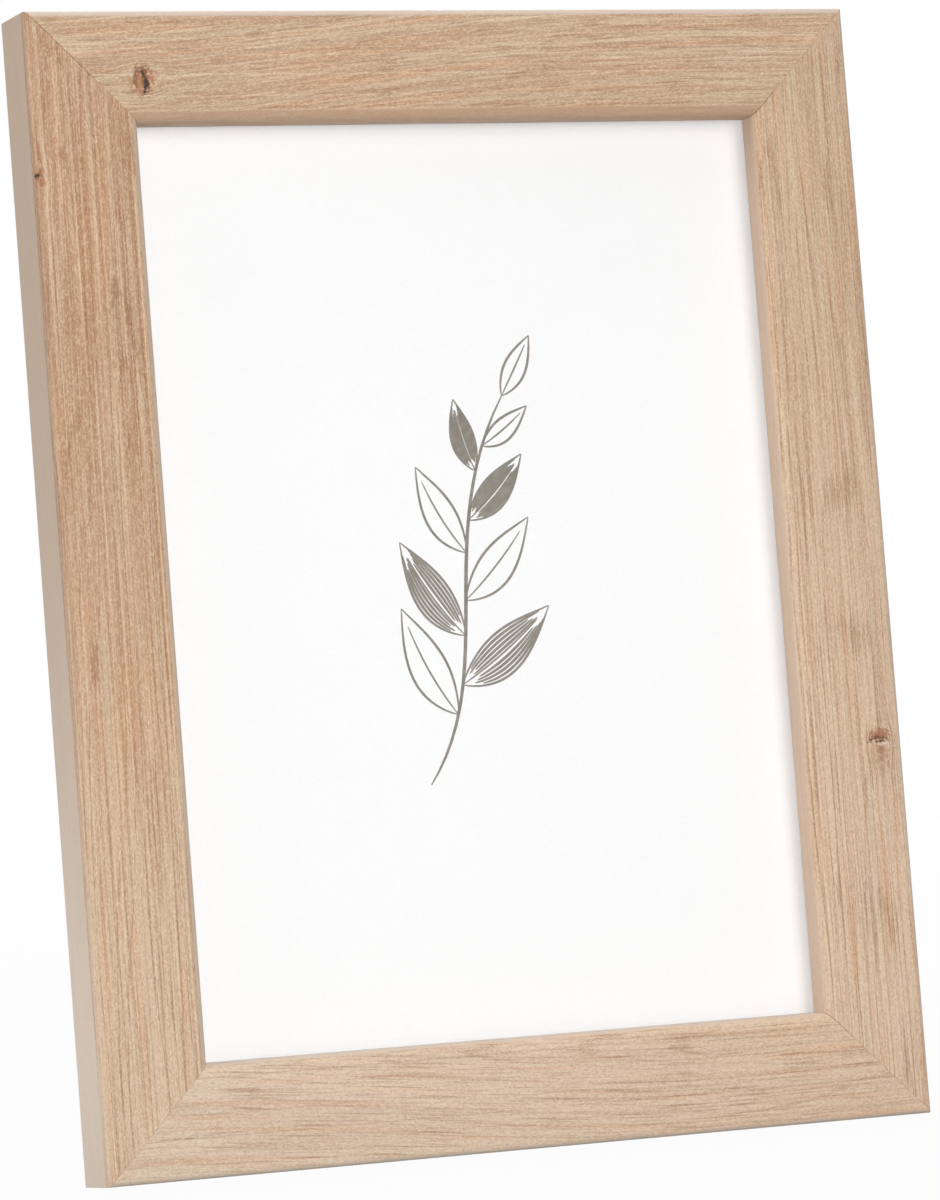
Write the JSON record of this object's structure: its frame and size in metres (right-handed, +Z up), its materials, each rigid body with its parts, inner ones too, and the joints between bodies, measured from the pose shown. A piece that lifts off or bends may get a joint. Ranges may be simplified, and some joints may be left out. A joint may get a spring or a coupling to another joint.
{
  "type": "picture frame",
  "caption": "Flat oak-finish picture frame with mitred corners, a clear pane and a hardboard back, leaning on a hinged easel strut.",
  "frame": {"origin": "under the middle of the footprint, on the surface that the frame stands on", "axes": "+Z up, -Y towards the viewer of the picture, +X to the viewer's right"},
  "size_m": [0.18, 0.0692, 0.2282],
  "materials": {
    "oak": "matte oak-grained foil with fine straight streaks and a few small knots",
    "glass": "clear float glass",
    "paper": "smooth white printed sheet",
    "card": "brown corrugated card",
    "hardboard": "brown hardboard, smooth side out",
    "steel": "bright zinc-plated steel"
  },
  "bodies": {
    "frame": {"top_rail": "oak", "bottom_rail": "oak", "left_stile": "oak", "right_stile": "oak", "v_nail_bottom_right_outer": "steel", "v_nail_bottom_right_inner": "steel", "v_nail_bottom_left_outer": "steel", "v_nail_bottom_left_inner": "steel", "v_nail_top_left_outer": "steel", "v_nail_top_left_inner": "steel", "v_nail_top_right_outer": "steel", "v_nail_top_right_inner": "steel", "glass_pane": "glass", "picture_insert": "paper", "filler_card": "card", "back_panel": "hardboard", "turn_screw_bottom_right": "steel", "turn_screw_bottom_left": "steel", "turn_screw_left_lower": "steel", "turn_screw_left_upper": "steel", "turn_screw_top_left": "steel", "turn_screw_top_right": "steel", "turn_screw_right_upper": "steel", "turn_screw_right_lower": "steel", "hinge_back_leaf": "steel", "hinge_pin": "steel", "back_leaf_rivet_left": "steel", "back_leaf_rivet_right": "steel", "hanger_strap": "steel", "hanger_rivet": "steel"},
    "strut": {"easel_strut": "hardboard", "hinge_strut_leaf": "steel", "strut_leaf_rivet_left": "steel", "strut_leaf_rivet_right": "steel"},
    "button_bottom_right": {"turn_button_bottom_right": "steel"},
    "button_bottom_left": {"turn_button_bottom_left": "steel"},
    "button_left_lower": {"turn_button_left_lower": "steel"},
    "button_left_upper": {"turn_button_left_upper": "steel"},
    "button_top_left": {"turn_button_top_left": "steel"},
    "button_top_right": {"turn_button_top_right": "steel"},
    "button_right_upper": {"turn_button_right_upper": "steel"},
    "button_right_lower": {"turn_button_right_lower": "steel"},
    "ring": {"hanger_ring": "steel"}
  },
  "joints": [
    {"name": "strut_hinge", "type": "hinge", "parent": "frame", "child": "strut", "pos_m": [0, 0.01012, 0.14675], "axis": [1, 0, 0], "range_deg": [-20, 0]},
    {"name": "turn_bottom_right", "type": "hinge", "parent": "frame", "child": "button_bottom_right", "pos_m": [0.05, -0.01815, 0.00759], "axis": [0, 0.9816, -0.1908], "range_deg": [-90, 90]},
    {"name": "turn_bottom_left", "type": "hinge", "parent": "frame", "child": "button_bottom_left", "pos_m": [-0.05, -0.01815, 0.00759], "axis": [0, 0.9816, -0.1908], "range_deg": [-90, 90]},
    {"name": "turn_left_lower", "type": "hinge", "parent": "frame", "child": "button_left_lower", "pos_m": [-0.082, -0.00823, 0.05863], "axis": [0, 0.9816, -0.1908], "range_deg": [-90, 90]},
    {"name": "turn_left_upper", "type": "hinge", "parent": "frame", "child": "button_left_upper", "pos_m": [-0.082, 0.01276, 0.16661], "axis": [0, 0.9816, -0.1908], "range_deg": [-90, 90]},
    {"name": "turn_top_left", "type": "hinge", "parent": "frame", "child": "button_top_left", "pos_m": [-0.05, 0.02268, 0.21765], "axis": [0, 0.9816, -0.1908], "range_deg": [-90, 90]},
    {"name": "turn_top_right", "type": "hinge", "parent": "frame", "child": "button_top_right", "pos_m": [0.05, 0.02268, 0.21765], "axis": [0, 0.9816, -0.1908], "range_deg": [-90, 90]},
    {"name": "turn_right_upper", "type": "hinge", "parent": "frame", "child": "button_right_upper", "pos_m": [0.082, 0.01276, 0.16661], "axis": [0, 0.9816, -0.1908], "range_deg": [-90, 90]},
    {"name": "turn_right_lower", "type": "hinge", "parent": "frame", "child": "button_right_lower", "pos_m": [0.082, -0.00823, 0.05863], "axis": [0, 0.9816, -0.1908], "range_deg": [-90, 90]},
    {"name": "hanger_swing", "type": "hinge", "parent": "frame", "child": "ring", "pos_m": [0, 0.01922, 0.19693], "axis": [1, 0, 0], "range_deg": [0, 168]}
  ]
}
